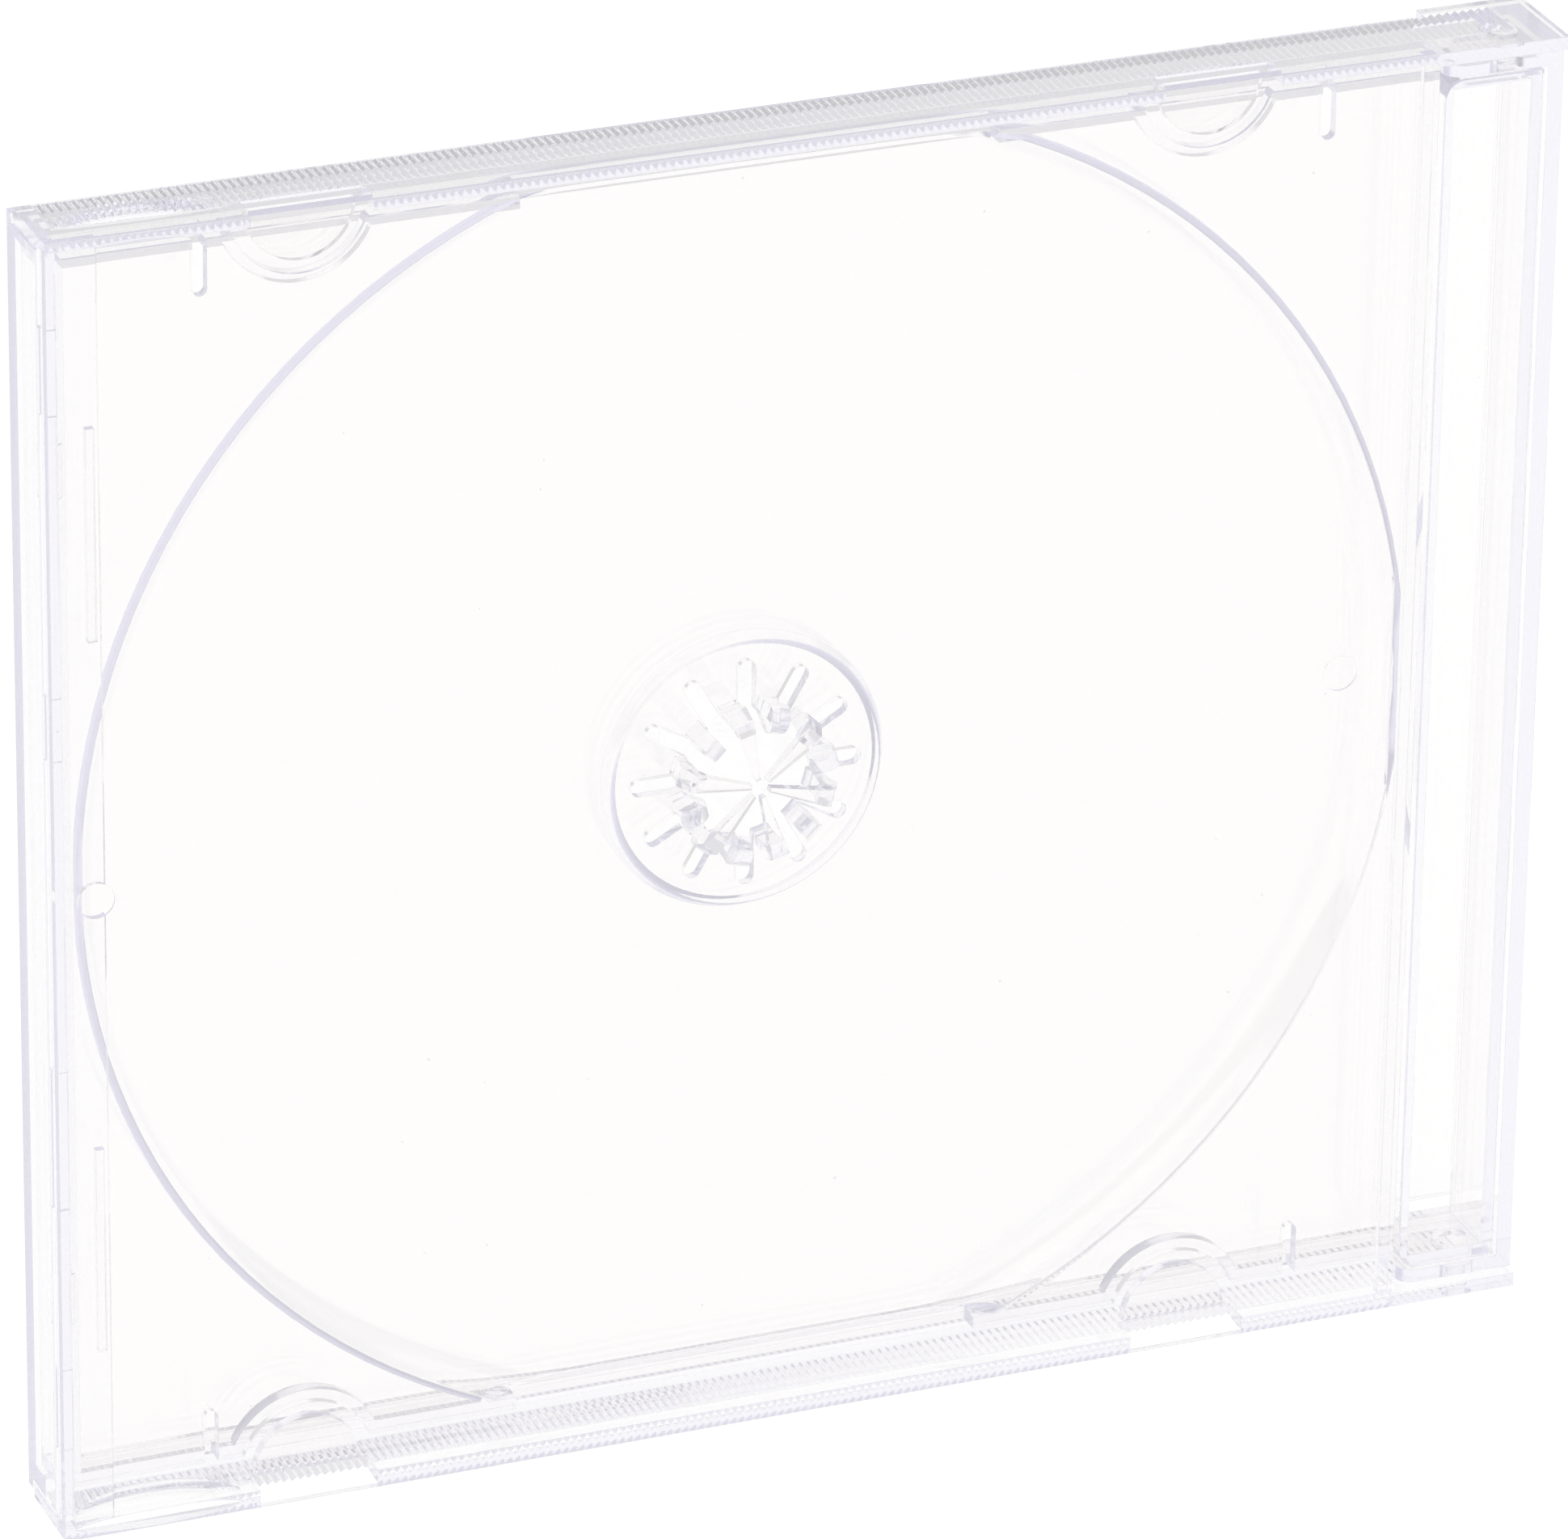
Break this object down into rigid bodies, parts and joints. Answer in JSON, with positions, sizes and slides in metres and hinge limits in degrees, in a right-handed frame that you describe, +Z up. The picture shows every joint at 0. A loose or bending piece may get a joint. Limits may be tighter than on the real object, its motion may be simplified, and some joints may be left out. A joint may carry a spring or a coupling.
{
  "type": "cd jewel case",
  "caption": "Clear hinged jewel case for a compact disc, with a lid that holds a booklet, a back cover and a clip-in disc tray with a sprung hub.",
  "frame": {"origin": "middle of the long edge that the closed case stands on", "axes": "+X towards the hinge side, +Y out of the back cover, +Z up along the hinge axis"},
  "size_m": [0.142, 0.0104, 0.125],
  "materials": {
    "clear_lid": "polished clear polystyrene",
    "clear_cover": "polished clear polystyrene",
    "clear_tray": "polished clear polystyrene"
  },
  "bodies": {
    "base": {"back_cover": "clear_cover", "disc_tray": "clear_tray"},
    "lid": {"front_lid": "clear_lid"}
  },
  "joints": [
    {"name": "lid_hinge", "type": "hinge", "parent": "base", "child": "lid", "pos_m": [0.0665, 0, 0.0625], "axis": [0, 0, 1], "range_deg": [0, 180]}
  ]
}
